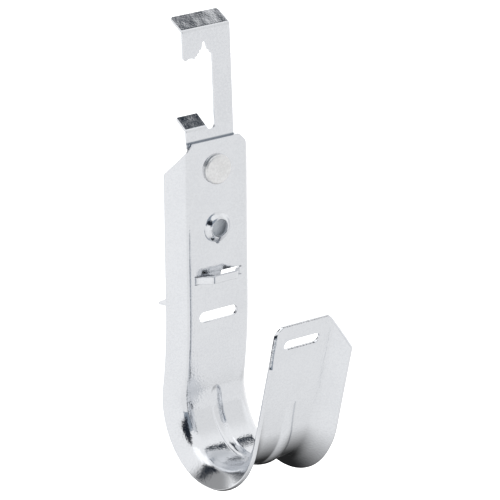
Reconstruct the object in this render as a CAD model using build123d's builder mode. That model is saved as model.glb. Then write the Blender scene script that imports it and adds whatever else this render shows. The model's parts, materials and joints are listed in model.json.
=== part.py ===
"""Cable J-hook with a riveted batwing clip: a formed steel hook, a folded steel clip and a rivet.

Millimetres. The origin is the seat of the drop wire, at the top of the clip's stepped notch.
+X runs across the strip to the right, +Y to the back, away from the cables, and +Z up.
"""
import os
from math import acos, atan2, cos, degrees, hypot, radians, sin, sqrt, tan

from build123d import *

# Hook strip
HOOK_SHEET = 1.0
CROWN_WIDTH = 17.2
BEND_RADIUS = 1.8
FLANGE_ANGLE = 53.0
FLANGE_LENGTH = 5.8
END_WIDTH = 15.2
CORNER_ANGLE = 45.5

# Hook loop, seen from the side
LOOP_BACK_RADIUS = 13.4
LOOP_FRONT_RADIUS = 19.6
LOOP_BOTTOM = 86.6
LOOP_SETBACK = 2.3
SETBACK_RADIUS = 135.0
LIP_LEAN = 15.4
LIP_LENGTH = 34.5

# Stiffening rib, pressed outwards along the loop
RIB_WIDTH = 3.2
RIB_DEPTH = 1.6
RIB_SHEET = 0.8
RIB_START = 3.0
RIB_LIP_RUN = 8.2

# Pressed and pierced features, as drops below the hook's top edge
RIVET_DROP = 8.2
NUT_DROP = 24.6
BRIDGE_DROP = 37.2
SLOT_DROP = 49.4
LIP_SLOT_DROP = 6.1
SLOT_LENGTH = 12.1
SLOT_HEIGHT = 3.0

# Sheet nut: a raised dimple with a split rim
NUT_BASE_RADIUS = 4.4
NUT_HOLE_RADIUS = 2.5
NUT_RISE = 1.3
NUT_SLIT_WIDTH = 0.5
NUT_SLIT_END = 4.1
NUT_RELIEF_RADIUS = 0.55

# Strap bridge: a lanced strip pushed forward and up
BRIDGE_MARGIN = 1.6
BRIDGE_RAMP = 3.1
BRIDGE_RISE = 3.7
BRIDGE_LIFT = 1.3
BRIDGE_SLIT = 0.5
BRIDGE_HEIGHT = 2.0
BRIDGE_BEND = 1.1

# Rivet
RIVET_HEAD_RADIUS = 4.1
RIVET_HEAD_HEIGHT = 1.15
RIVET_SHANK_RADIUS = 2.4
RIVET_TAIL_RADIUS = 3.6
RIVET_TAIL_HEIGHT = 1.3
RIVET_CLEARANCE = 0.05
RIVET_EDGE = 0.25

# Clip sheet
CLIP_SHEET = 0.8
CLIP_BEND = 1.1
CLIP_LEAN = 2.5
CLIP_WIDTH = 15.1
NOTCH_INSET = 6.7
NOTCH_OFFSET = 2.1
NOTCH_RISE = 26.8

# Clip wing, above the hook
WING_FOLD_RISE = 3.8
WING_FLANGE = 6.2
WING_PITCH = 25.0
WINDOW_FLOOR = 3.6
STRIP_WIDTH = 5.9
TAB_WIDTH = 6.7
TAB_LENGTH = 5.4
RELIEF_DEPTH = 0.9

# Stepped notch, as half widths and drops below the wire seat
SEAT_RADIUS = 0.5
STEP_ONE_HALF = 0.95
STEP_ONE_DROP = 1.8
STEP_TWO_HALF = 1.65
STEP_TWO_DROP = 2.9
ROOT_DROP = 3.5
TOOTH_HALF = 3.4
TOOTH_DROP = 4.35
SCALLOP_RISE = 0.5
HEEL_CORNER = 0.8

# Clip tail, hidden in the hook's channel
SHOULDER_LIFT = 0.1
TAIL_WIDTH = 13.4
TAIL_TAPER_DROP = 14.0
TAIL_END_WIDTH = 6.6
TAIL_DROP = 48.0
FOOT_REACH = 11.6
FOOT_FLARE = 23.0
FOOT_SWEEP = 10.0

# Places worked out from the sizes above
lean = radians(CLIP_LEAN)
hook_top_z = -NOTCH_RISE
hook_front_y = -(HOOK_SHEET + NOTCH_RISE * tan(lean) + CLIP_SHEET / (2 * cos(lean)))
hook_back_y = hook_front_y + HOOK_SHEET
crown_half = CROWN_WIDTH / 2
end_half = END_WIDTH / 2
flange = radians(FLANGE_ANGLE)
strip_depth = BEND_RADIUS * (1 - cos(flange)) + FLANGE_LENGTH * sin(flange) + HOOK_SHEET

# Reaches of the tools: a punch either side of the hook's face, and a blank larger than the clip
punch = 4 * HOOK_SHEET
blank = NOTCH_RISE + TAIL_DROP

# Loop centres: the back and front arcs meet at the bottom of the loop
loop_y = hook_front_y + LOOP_SETBACK - LOOP_BACK_RADIUS
loop_bottom_z = hook_top_z - LOOP_BOTTOM
back_axis = Axis((NOTCH_OFFSET, loop_y, loop_bottom_z + LOOP_BACK_RADIUS), (-1, 0, 0))
front_axis = Axis((NOTCH_OFFSET, loop_y, loop_bottom_z + LOOP_FRONT_RADIUS), (-1, 0, 0))
quarter = 90
front_turn = quarter - LIP_LEAN

# Set-back bend between the straight strip and the back of the loop
setback_reach = SETBACK_RADIUS + LOOP_BACK_RADIUS
setback_turn = degrees(acos(1 - LOOP_SETBACK / setback_reach))
straight = LOOP_BOTTOM - LOOP_BACK_RADIUS - setback_reach * sin(radians(setback_turn))

# Hook front face: x across, y up from the top edge, normal towards the cables
hook_face = Plane((NOTCH_OFFSET, hook_front_y, hook_top_z), x_dir=(1, 0, 0), z_dir=(0, -1, 0))


def strip_plane(drop):
    """Level plane across the straight strip: x across, y to the back."""
    return Plane((NOTCH_OFFSET, hook_front_y, hook_top_z - drop), x_dir=(1, 0, 0), z_dir=(0, 0, 1))


def loop_plane(angle):
    """Plane across the loop at an angle past its rearmost point: x across, y outwards."""
    in_back = angle <= quarter
    centre = (back_axis if in_back else front_axis).position
    radius = LOOP_BACK_RADIUS if in_back else LOOP_FRONT_RADIUS
    outwards = Vector(0, cos(radians(angle)), -sin(radians(angle)))
    across = Vector(1, 0, 0)
    return Plane(centre + outwards * radius, x_dir=across, z_dir=across.cross(outwards))


def strip_section(plane):
    """Cross-section of the hook's strip: a flat crown with two flanges bent away from the cables."""
    with BuildSketch(plane) as section:
        with BuildLine():
            crown = Line((0, 0), (crown_half, 0))
            bend = JernArc(crown @ 1, crown % 1, BEND_RADIUS, FLANGE_ANGLE)
            PolarLine(bend @ 1, FLANGE_LENGTH, angle=FLANGE_ANGLE)
            offset(amount=HOOK_SHEET, side=Side.LEFT)
        make_face()
        mirror(about=Plane.YZ)
    return section.sketch


def corner_cuts(plane):
    """Slanted corner offcuts of a strip end, as they lie after the flanges are bent."""
    slope = tan(radians(CORNER_ANGLE))
    crown_drop = (crown_half - end_half) * slope
    bend_x = crown_half + BEND_RADIUS * sin(flange)
    bend_drop = crown_drop + BEND_RADIUS * flange * slope
    edge_x = bend_x + FLANGE_LENGTH * cos(flange)
    edge_drop = bend_drop + FLANGE_LENGTH * slope
    beyond = edge_x + HOOK_SHEET
    beyond_drop = edge_drop + HOOK_SHEET * slope / cos(flange)
    with BuildSketch(plane) as corners:
        with BuildLine():
            Polyline(
                (end_half, 0),
                (crown_half, -crown_drop),
                (bend_x, -bend_drop),
                (beyond, -beyond_drop),
                (beyond, HOOK_SHEET),
                (end_half, HOOK_SHEET),
                close=True,
            )
        make_face()
        mirror(about=Plane.YZ)
    return corners.sketch


# Rib section: a round groove inside, and the same arc one thinned sheet further out
rib_radius = (RIB_WIDTH**2 / 4 + RIB_DEPTH**2) / (2 * RIB_DEPTH)
rib_centre = RIB_DEPTH - rib_radius
ridge_radius = rib_radius + RIB_SHEET
ridge_base = HOOK_SHEET / 2
ridge_half = sqrt(ridge_radius**2 - (ridge_base - rib_centre) ** 2)


def keep_right_half():
    """Cut away the left half of the sketch being built."""
    Rectangle(blank, blank, align=(Align.MAX, Align.CENTER), mode=Mode.SUBTRACT)


def ridge_section(plane, half=False):
    """The rib's raised outside, from the middle of the sheet to its crest."""
    with BuildSketch(plane) as ridge:
        with BuildLine():
            Line((-ridge_half, ridge_base), (ridge_half, ridge_base))
            crest = (0, rib_centre + ridge_radius)
            ThreePointArc((-ridge_half, ridge_base), crest, (ridge_half, ridge_base))
        make_face()
        if half:
            keep_right_half()
    return ridge.sketch


def groove_section(plane, half=False):
    """The rib's hollow inside."""
    with BuildSketch(plane) as groove:
        with Locations((0, rib_centre)):
            Circle(rib_radius)
        if half:
            keep_right_half()
    return groove.sketch


def slot(plane, drop):
    """Round-ended slot across the strip, below a strip end."""
    with BuildSketch(plane) as outline:
        with Locations((0, -drop)):
            SlotOverall(SLOT_LENGTH, SLOT_HEIGHT)
    return outline.sketch


with BuildPart() as j_hook:
    # Strip: straight back, set-back bend, loop and lip
    extrude(strip_section(strip_plane(0)), amount=-straight)
    setback_axis = Axis(
        (NOTCH_OFFSET, hook_front_y + SETBACK_RADIUS, hook_top_z - straight), (1, 0, 0)
    )
    lip_root = loop_plane(quarter + front_turn)
    revolve(strip_section(strip_plane(straight)), axis=setback_axis, revolution_arc=setback_turn)
    revolve(strip_section(loop_plane(-setback_turn)), axis=back_axis, revolution_arc=setback_turn + quarter)
    revolve(strip_section(loop_plane(quarter)), axis=front_axis, revolution_arc=front_turn)
    extrude(strip_section(lip_root), amount=-LIP_LENGTH)

    # Slanted corners at both ends of the strip
    lip_top = lip_root.offset(-LIP_LENGTH)
    lip_face = Plane(lip_top.origin, x_dir=(1, 0, 0), z_dir=lip_top.y_dir)
    for end_face in (hook_face, lip_face):
        extrude(corner_cuts(end_face), amount=strip_depth, both=True, mode=Mode.SUBTRACT)

    # Rib along the loop, with a domed end on the back and on the lip
    rib_start = loop_plane(RIB_START)
    rib_end = lip_root.offset(-RIB_LIP_RUN)
    for section, mode in ((ridge_section, Mode.ADD), (groove_section, Mode.SUBTRACT)):
        revolve(section(rib_start), axis=back_axis, revolution_arc=quarter - RIB_START, mode=mode)
        revolve(section(loop_plane(quarter)), axis=front_axis, revolution_arc=front_turn, mode=mode)
        extrude(section(lip_root), amount=-RIB_LIP_RUN, mode=mode)
        for end in (rib_start, rib_end):
            revolve(section(end, half=True), axis=Axis(end.origin, end.y_dir), mode=mode)

    # Tie slots in the back and the lip
    extrude(slot(hook_face, SLOT_DROP), amount=punch, both=True, mode=Mode.SUBTRACT)
    extrude(slot(lip_face, LIP_SLOT_DROP), amount=punch, both=True, mode=Mode.SUBTRACT)

    # Rivet hole
    with BuildSketch(hook_face):
        with Locations((0, -RIVET_DROP)):
            Circle(RIVET_SHANK_RADIUS + RIVET_CLEARANCE)
    extrude(amount=punch, both=True, mode=Mode.SUBTRACT)

    # Sheet nut: a flared dimple towards the cables, split at the bottom
    nut_plane = strip_plane(NUT_DROP)
    with BuildSketch(hook_face):
        with Locations((0, -NUT_DROP)):
            Circle(NUT_BASE_RADIUS)
    extrude(amount=punch, both=True, mode=Mode.SUBTRACT)
    with BuildSketch(nut_plane):
        with BuildLine():
            foot_front = (NUT_BASE_RADIUS, 0)
            foot_back = (NUT_BASE_RADIUS, HOOK_SHEET)
            rim_front = (NUT_HOLE_RADIUS, -NUT_RISE)
            rim_back = (NUT_HOLE_RADIUS, HOOK_SHEET - NUT_RISE)
            Spline(foot_front, rim_front, tangents=[(-1, 0), (-1, 0)])
            Line(rim_front, rim_back)
            Spline(rim_back, foot_back, tangents=[(1, 0), (1, 0)])
            Line(foot_back, foot_front)
        make_face()
    revolve(axis=Axis(nut_plane.origin, nut_plane.y_dir))
    with BuildSketch(hook_face):
        with Locations((0, -NUT_DROP)):
            Rectangle(NUT_SLIT_WIDTH, NUT_SLIT_END, align=(Align.CENTER, Align.MAX))
        with Locations((0, -NUT_DROP - NUT_SLIT_END)):
            Circle(NUT_RELIEF_RADIUS)
    extrude(amount=punch, both=True, mode=Mode.SUBTRACT)

    # Strap bridge: its window, then the strip that was pushed out of it, rising on a tilted plane
    bridge_half = crown_half - BRIDGE_MARGIN
    bridge_flat_half = bridge_half - BRIDGE_RAMP
    bridge_out = hypot(BRIDGE_RISE, BRIDGE_LIFT)
    bridge_tilt = degrees(atan2(BRIDGE_LIFT, BRIDGE_RISE))
    with BuildSketch(hook_face):
        with Locations((0, BRIDGE_HEIGHT / 2 - BRIDGE_DROP)):
            window_height = BRIDGE_HEIGHT + BRIDGE_LIFT + BRIDGE_SLIT
            Rectangle(2 * bridge_half, window_height, align=(Align.CENTER, Align.MAX))
    extrude(amount=punch, both=True, mode=Mode.SUBTRACT)
    bridge_foot = strip_plane(BRIDGE_DROP + BRIDGE_LIFT + BRIDGE_HEIGHT / 2)
    with BuildSketch(bridge_foot.rotated((-bridge_tilt, 0, 0))):
        with BuildLine():
            FilletPolyline(
                (-crown_half, 0),
                (-bridge_half, 0),
                (-bridge_flat_half, -bridge_out),
                (bridge_flat_half, -bridge_out),
                (bridge_half, 0),
                (crown_half, 0),
                radius=BRIDGE_BEND,
            )
            offset(amount=HOOK_SHEET, side=Side.LEFT)
        make_face()
    extrude(amount=BRIDGE_HEIGHT, dir=bridge_foot.z_dir)

# Clip outline about the notch: its sides, window, tab and tail
clip_left = -NOTCH_INSET
clip_right = CLIP_WIDTH - NOTCH_INSET
strip_left = clip_right - STRIP_WIDTH
window_floor = hook_top_z + WINDOW_FLOOR
tab_right = clip_left + TAB_WIDTH
relief_radius = (strip_left - tab_right) / 2
tail_left = NOTCH_OFFSET - TAIL_WIDTH / 2
tail_right = NOTCH_OFFSET + TAIL_WIDTH / 2
tail_end_right = tail_left + TAIL_END_WIDTH
foot_z = hook_top_z - TAIL_DROP


def clip_front(z):
    """Front surface of the clip at a height: upright in the hook, leaning back above it."""
    return hook_back_y + max(z - hook_top_z, 0) * tan(lean)


wing_fold_z = WING_FOLD_RISE
wing_pitch = radians(WING_PITCH)
wing_back = (
    clip_front(wing_fold_z) + WING_FLANGE * cos(wing_pitch),
    wing_fold_z + WING_FLANGE * sin(wing_pitch),
)
tab_back = (
    clip_front(window_floor) + TAB_LENGTH * cos(wing_pitch),
    window_floor + TAB_LENGTH * sin(wing_pitch),
)

with BuildPart() as batwing_clip:
    # Folded sheet from the side: wing flange, leaning wing, tail and foot
    with BuildSketch(Plane.YZ):
        with BuildLine():
            FilletPolyline(
                wing_back,
                (clip_front(wing_fold_z), wing_fold_z),
                (hook_back_y, hook_top_z),
                (hook_back_y, foot_z),
                (hook_back_y + blank, foot_z),
                radius=CLIP_BEND + CLIP_SHEET,
            )
            offset(amount=CLIP_SHEET, side=Side.LEFT)
        make_face()
    extrude(amount=blank, both=True)

    # Front outline: wing, strip, shoulders and tapering tail
    foot_top = foot_z + 2 * CLIP_BEND
    shoulder_z = hook_top_z + SHOULDER_LIFT
    with BuildSketch(Plane.XZ):
        with BuildLine():
            Polyline(
                (clip_left, blank),
                (clip_left, shoulder_z),
                (tail_left, shoulder_z),
                (tail_left, foot_top),
                (-blank, foot_top),
                (-blank, foot_z - CLIP_SHEET),
                (tail_end_right, foot_z - CLIP_SHEET),
                (tail_end_right, foot_top),
                (tail_right, hook_top_z - TAIL_TAPER_DROP),
                (tail_right, shoulder_z),
                (clip_right, shoulder_z),
                (clip_right, blank),
                close=True,
            )
        make_face()
    extrude(amount=blank, both=True, mode=Mode.INTERSECT)

    # Foot outline from above: flared on the left, swept at the back
    flare_y = hook_back_y + CLIP_BEND + CLIP_SHEET
    tip_y = hook_back_y + FOOT_REACH
    tip_x = tail_left - (tip_y - flare_y) * tan(radians(FOOT_FLARE))
    heel_y = tip_y + (tail_end_right - tip_x) * tan(radians(FOOT_SWEEP))
    with BuildSketch(Plane.XY.offset(foot_top)):
        Rectangle(2 * blank, 4 * blank)
        with BuildLine():
            Polyline(
                (tail_left, hook_front_y),
                (tail_left, flare_y),
                (tip_x, tip_y),
                (tail_end_right, heel_y),
                (tail_end_right, hook_front_y),
                close=True,
            )
        make_face(mode=Mode.SUBTRACT)
    extrude(amount=-blank, mode=Mode.SUBTRACT)

    # Window with the stepped notch at its top and a round relief beside the tab
    tab_root = window_floor - 2 * CLIP_BEND
    heel = (clip_left + HEEL_CORNER, -TOOTH_DROP)
    tooth = (-TOOTH_HALF, -TOOTH_DROP)
    scallop = ((clip_left + HEEL_CORNER - TOOTH_HALF) / 2, SCALLOP_RISE - TOOTH_DROP)
    outside = clip_left - CLIP_WIDTH
    relief_z = window_floor - RELIEF_DEPTH + relief_radius
    with BuildSketch(Plane.XZ):
        with BuildLine():
            Polyline((outside, -ROOT_DROP), (clip_left, HEEL_CORNER - TOOTH_DROP), heel)
            ThreePointArc(heel, scallop, tooth)
            Polyline(
                tooth,
                (-TOOTH_HALF + HEEL_CORNER, -ROOT_DROP),
                (-STEP_TWO_HALF, -STEP_TWO_DROP),
                (-STEP_TWO_HALF, -STEP_ONE_DROP),
                (-STEP_ONE_HALF, -STEP_ONE_DROP),
                (-SEAT_RADIUS, -SEAT_RADIUS),
            )
            ThreePointArc((-SEAT_RADIUS, -SEAT_RADIUS), (0, 0), (SEAT_RADIUS, -SEAT_RADIUS))
            Polyline(
                (SEAT_RADIUS, -SEAT_RADIUS),
                (STEP_ONE_HALF, -STEP_ONE_DROP),
                (STEP_TWO_HALF, -STEP_TWO_DROP),
                (strip_left, -ROOT_DROP),
                (strip_left, relief_z),
            )
            ThreePointArc(
                (strip_left, relief_z),
                ((strip_left + tab_right) / 2, relief_z - relief_radius),
                (tab_right, relief_z),
            )
            Polyline((tab_right, relief_z), (tab_right, tab_root), (outside, tab_root), (outside, -ROOT_DROP))
        make_face()
    extrude(amount=blank, both=True, mode=Mode.SUBTRACT)

    # Tab under the window, folded back like the wing's flange
    with BuildSketch(Plane.YZ.offset(clip_left)):
        with BuildLine():
            FilletPolyline(
                tab_back,
                (clip_front(window_floor), window_floor),
                (clip_front(tab_root), tab_root),
                radius=CLIP_BEND + CLIP_SHEET,
            )
            offset(amount=CLIP_SHEET, side=Side.LEFT)
        make_face()
    extrude(amount=TAB_WIDTH)

    # Rivet hole
    with BuildSketch(hook_face):
        with Locations((0, -RIVET_DROP)):
            Circle(RIVET_SHANK_RADIUS + RIVET_CLEARANCE)
    extrude(amount=punch, both=True, mode=Mode.SUBTRACT)

with BuildPart() as rivet:
    rivet_plane = strip_plane(RIVET_DROP)
    clip_back = HOOK_SHEET + CLIP_SHEET
    with BuildSketch(rivet_plane):
        with BuildLine():
            Polyline(
                (0, -RIVET_HEAD_HEIGHT),
                (RIVET_HEAD_RADIUS, -RIVET_HEAD_HEIGHT),
                (RIVET_HEAD_RADIUS, 0),
                (RIVET_SHANK_RADIUS, 0),
                (RIVET_SHANK_RADIUS, clip_back),
                (RIVET_TAIL_RADIUS, clip_back),
                (RIVET_TAIL_RADIUS, clip_back + RIVET_TAIL_HEIGHT),
                (0, clip_back + RIVET_TAIL_HEIGHT),
                close=True,
            )
        make_face()
    revolve(axis=Axis(rivet_plane.origin, rivet_plane.y_dir))
    rims = rivet.edges().filter_by(GeomType.CIRCLE).group_by(Axis.Y)
    chamfer(rims[0] + rims[-1], RIVET_EDGE)

os.makedirs("parts", exist_ok=True)
for node, name in ((j_hook, "j_hook"), (batwing_clip, "batwing_clip"), (rivet, "rivet")):
    node.part.label = name
    export_step(node.part, f"parts/{name}.step")
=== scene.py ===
"""Cable J-hook with its batwing clip and rivet, dressed in satin zinc plating, in a pale studio.

Sizes are millimetres in the part's frame: +X across the strip, +Y to the back, +Z up, with the
origin at the seat of the hanging wire. Each sheet is cut flat, with rounded edges, and then formed
along its side profile by one Geometry Nodes tree, as the real one is punched and folded.
"""

import json
import logging
import math
from dataclasses import dataclass, field
from enum import Enum
from typing import Callable, Sequence

import bpy
import numpy as np
from mathutils import Matrix, Vector

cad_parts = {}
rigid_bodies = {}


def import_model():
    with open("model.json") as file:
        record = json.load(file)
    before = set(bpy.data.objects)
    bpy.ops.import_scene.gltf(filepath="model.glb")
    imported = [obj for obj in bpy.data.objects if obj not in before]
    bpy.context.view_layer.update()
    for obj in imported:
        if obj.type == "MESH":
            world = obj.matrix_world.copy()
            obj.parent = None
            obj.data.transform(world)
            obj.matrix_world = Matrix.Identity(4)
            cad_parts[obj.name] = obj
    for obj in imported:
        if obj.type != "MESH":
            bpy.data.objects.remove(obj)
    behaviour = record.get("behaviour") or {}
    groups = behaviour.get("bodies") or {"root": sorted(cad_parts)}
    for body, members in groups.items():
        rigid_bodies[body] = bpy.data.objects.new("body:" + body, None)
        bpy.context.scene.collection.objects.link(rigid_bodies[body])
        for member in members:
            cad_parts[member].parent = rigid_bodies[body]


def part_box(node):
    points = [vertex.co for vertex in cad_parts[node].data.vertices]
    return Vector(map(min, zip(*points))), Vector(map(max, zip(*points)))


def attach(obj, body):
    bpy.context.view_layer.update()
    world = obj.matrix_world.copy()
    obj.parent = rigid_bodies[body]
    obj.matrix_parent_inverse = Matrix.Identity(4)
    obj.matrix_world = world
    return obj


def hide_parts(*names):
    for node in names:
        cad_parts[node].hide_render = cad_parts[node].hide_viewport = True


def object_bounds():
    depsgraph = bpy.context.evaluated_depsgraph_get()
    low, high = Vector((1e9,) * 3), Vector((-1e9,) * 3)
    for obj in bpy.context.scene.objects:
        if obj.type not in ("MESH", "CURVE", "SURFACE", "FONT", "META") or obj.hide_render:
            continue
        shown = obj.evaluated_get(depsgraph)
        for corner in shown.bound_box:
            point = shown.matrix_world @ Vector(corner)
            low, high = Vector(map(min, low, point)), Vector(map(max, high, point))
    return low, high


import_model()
cad_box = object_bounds()

MM = 0.001
FAR = 1000.0
CLOSE = 1e-6
TINY = 1e-9
BODY = "root"
log = logging.getLogger("cable_hook")

Point = tuple[float, float]
Tone = tuple[float, float, float]
Outline = Callable[[np.ndarray], np.ndarray]
Socket = bpy.types.NodeSocket


class Slot(Enum):
    """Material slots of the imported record."""

    HOOK = "hook_steel"
    CLIP = "clip_steel"
    RIVET = "rivet_steel"


def joined(operation: str) -> Callable[["Term", object], "Term"]:
    """Method that joins a term to another value by one Math operation."""
    return lambda term, other: term.graph.math(operation, term, other)


@dataclass(frozen=True)
class Term:
    """An output socket in a node tree. Arithmetic on it adds Math nodes to the tree."""

    graph: "Graph"
    socket: Socket

    __add__ = joined("ADD")
    __sub__ = joined("SUBTRACT")
    __mul__ = joined("MULTIPLY")
    __truediv__ = joined("DIVIDE")
    __pow__ = joined("POWER")

    def __rsub__(self, other: float) -> "Term":
        """Take this term from a number."""
        return self.graph.math("SUBTRACT", other, self)

    def __abs__(self) -> "Term":
        """Size of this term without its sign."""
        return self.graph.math("ABSOLUTE", self)


class Graph:
    """Short hand for building a node tree."""

    MIX_COLOURS = (6, 7)
    MIX_COLOUR_RESULT = 2
    MIX_VECTORS = (4, 5)
    MIX_VECTOR_RESULT = 1

    def __init__(self, tree: bpy.types.NodeTree) -> None:
        """Start from an empty tree."""
        self.tree = tree
        tree.nodes.clear()

    def node(self, kind: str, inputs: dict | None = None, **settings: object) -> bpy.types.Node:
        """Add a node.

        Args:
            kind: The node's type name.
            inputs: Values, terms or output sockets for its inputs, by name or index.
            settings: Properties to set on the node.

        Returns:
            The new node.
        """
        made = self.tree.nodes.new(kind)
        for key, value in settings.items():
            setattr(made, key, value)
        for key, value in (inputs or {}).items():
            self.feed(made.inputs[key], value)
        return made

    def feed(self, socket: Socket, value: object) -> None:
        """Link a term or an output socket to an input, or set the input's own value."""
        source = value.socket if isinstance(value, Term) else value
        if isinstance(source, Socket):
            self.tree.links.new(source, socket)
        else:
            socket.default_value = source

    def terms(self, node: bpy.types.Node) -> dict[str, Term]:
        """Outputs of a node, by name."""
        return {socket.name: Term(self, socket) for socket in node.outputs}

    def split(self, vector: object) -> list[Term]:
        """The three coordinates of a vector."""
        return list(self.terms(self.node("ShaderNodeSeparateXYZ", {0: vector})).values())

    def math(self, operation: str, *values: object) -> Term:
        """Result of a Math node for up to three values."""
        made = self.node("ShaderNodeMath", dict(enumerate(values)), operation=operation)
        return Term(self, made.outputs[0])

    def vector(self, operation: str, first: object, second: object, output: str = "Vector") -> Term:
        """Result of a Vector Math node for two vectors."""
        made = self.node("ShaderNodeVectorMath", {0: first, 1: second}, operation=operation)
        return Term(self, made.outputs[output])

    def ramp(self, value: object, low: object, high: object, start: object, end: object,
             kind: str = "SMOOTHSTEP") -> Term:
        """Run from start to end while a value runs from low to high, and hold outside."""
        made = self.node("ShaderNodeMapRange", {
            "Value": value, "From Min": low, "From Max": high, "To Min": start, "To Max": end,
        }, interpolation_type=kind)
        return Term(self, made.outputs["Result"])

    def blend(self, share: Term, below: Term | Tone, above: Term | Tone) -> Term:
        """Blend from one colour to another by a share."""
        made = self.node("ShaderNodeMix", {"Factor": share}, data_type="RGBA")
        for index, colour in zip(self.MIX_COLOURS, (below, above)):
            self.feed(made.inputs[index], colour if isinstance(colour, Term) else (*colour, 1.0))
        return Term(self, made.outputs[self.MIX_COLOUR_RESULT])

    def choose(self, share: object, below: Term, above: Term) -> Term:
        """Blend from one vector to another by a share."""
        inputs = {"Factor": share, **dict(zip(self.MIX_VECTORS, (below, above)))}
        made = self.node("ShaderNodeMix", inputs, data_type="VECTOR")
        return Term(self, made.outputs[self.MIX_VECTOR_RESULT])


def placed(name: str, data: bpy.types.ID) -> bpy.types.Object:
    """Add an object with its data to the scene."""
    made = bpy.data.objects.new(name, data)
    bpy.context.scene.collection.objects.link(made)
    return made


@dataclass(frozen=True)
class ZincFinish:
    """Satin zinc plating: a pale metal with a fine crystalline speckle and slow clouds.

    Lengths are in millimetres, colours are linear. Speckle and clouds make one tone, which runs
    from grey to pale, and from the rougher to the smoother end of the roughness.

    Attributes:
        relief: Depth of the bump.
        wave: How much the clouds count in the bump.
        pits: Spacing of the dents in a dull finish, if it has any.
        streak: Width of the drawing lines along the blank, if it has any.
        shaded_seam: Depth and height of a line of painted shade on the front face.
        dull_lit_spot: Middle and radius of a ball that is duller and painted paler, as light.
    """

    name: str
    pale: Tone
    grey: Tone
    roughness: Point
    relief: float
    wave: float = 0.0
    pits: float | None = None
    streak: float | None = None
    shaded_seam: Point | None = None
    dull_lit_spot: tuple[float, float, float, float] | None = None
    speckle: float = 0.55
    cloud: float = 9.0
    fine_detail: float = 1.0
    slow_detail: float = 2.0
    speckle_share: float = 0.65
    colour_range: Point = (0.36, 0.62)
    rough_range: Point = (0.32, 0.66)
    pit_range: Point = (0.05, 0.3)
    streak_length: float = 24.0
    streak_share: float = 0.4
    shaded_seam_reach: Point = (0.15, 0.5)
    shaded_seam_depth: Point = (0.2, 0.4)
    painted_shade_share: float = 0.85
    painted_shade_tone: Tone = (0.20, 0.23, 0.27)
    dull_lit_edge: float = 0.2
    dull_roughness: float = 0.5
    dull_loss: float = 0.9
    painted_light_tone: Tone = (0.90, 0.93, 0.96)

    def material(self) -> bpy.types.Material:
        """Build the finish as a procedural material on object coordinates.

        Returns:
            The new material.
        """
        made = bpy.data.materials.new(self.name)
        made.use_nodes = True
        graph = Graph(made.node_tree)
        place = graph.node("ShaderNodeTexCoord").outputs["Object"]
        speckle = self.noise(graph, place, self.speckle, self.fine_detail)
        cloud = self.noise(graph, place, self.cloud, self.slow_detail)
        tone = speckle * self.speckle_share + cloud * (1 - self.speckle_share)
        colour = graph.blend(graph.ramp(tone, *self.colour_range, 0.0, 1.0), self.grey, self.pale)
        rough = graph.ramp(tone, *self.rough_range, *reversed(self.roughness))
        metal: Term | float = 1.0
        # Painted light: paler colour on the tail behind the nut's hole, which is also made duller.
        if self.dull_lit_spot:
            *middle, reach = (value * MM for value in self.dull_lit_spot)
            away = graph.vector("DISTANCE", place, middle, "Value")
            dull_lit = graph.ramp(away, reach, reach + self.dull_lit_edge * MM, 1.0, 0.0)
            colour = graph.blend(dull_lit, colour, self.painted_light_tone)
            rough = graph.math("MAXIMUM", rough, dull_lit * self.dull_roughness)
            metal = 1.0 - dull_lit * self.dull_loss
        # Painted shade: a dark line on the front face along the hook's top edge.
        if self.shaded_seam:
            colour = graph.blend(self.painted_shade(graph, place), colour, self.painted_shade_tone)
        bump = graph.node("ShaderNodeBump", {
            "Height": self.height(graph, place, cloud * self.wave + speckle),
            "Strength": 1.0, "Distance": self.relief * MM,
        })
        shader = graph.node("ShaderNodeBsdfPrincipled", {
            "Base Color": colour, "Metallic": metal, "Roughness": rough,
            "Normal": bump.outputs["Normal"],
        })
        graph.node("ShaderNodeOutputMaterial", {"Surface": shader.outputs["BSDF"]})
        return made

    def painted_shade(self, graph: Graph, place: Socket) -> Term:
        """Share of painted shade at a place: at the seam's height, only on the front face."""
        depth, level = self.shaded_seam
        _, y, z = graph.split(place)
        reach = (v * MM for v in self.shaded_seam_reach)
        near = graph.ramp(abs(z - level * MM), *reach, self.painted_shade_share, 0.0)
        return near * graph.ramp(y, *((depth + v) * MM for v in self.shaded_seam_depth), 1.0, 0.0)

    def height(self, graph: Graph, place: Socket, height: Term) -> Term:
        """Height of the bump, with its pits and its drawing lines."""
        if self.pits:
            inputs = {"Vector": place, "Scale": 1 / (self.pits * MM)}
            cells = graph.node("ShaderNodeTexVoronoi", inputs)
            height = height * graph.ramp(cells.outputs["Distance"], *self.pit_range, 0.0, 1.0)
        if self.streak:
            blank = graph.node("ShaderNodeAttribute", attribute_name="blank").outputs["Vector"]
            drawn = graph.node("ShaderNodeMapping", {
                "Vector": blank, "Scale": (1.0, 1 / self.streak_length, 1.0),
            })
            lines = self.noise(graph, drawn.outputs[0], self.streak, self.slow_detail)
            height = lines * self.streak_share + height
        return height

    @staticmethod
    def noise(graph: Graph, place: Socket, grain: float, detail: float) -> Term:
        """Noise with features of one grain size, in millimetres."""
        inputs = {"Vector": place, "Scale": 1 / (grain * MM), "Detail": detail}
        return Term(graph, graph.node("ShaderNodeTexNoise", inputs).outputs[0])


HOOK_ZINC = ZincFinish(
    "satin_zinc_hook", (0.747, 0.762, 0.787), (0.722, 0.737, 0.764), (0.09, 0.16), relief=0.028,
    streak=0.6,
)
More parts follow.
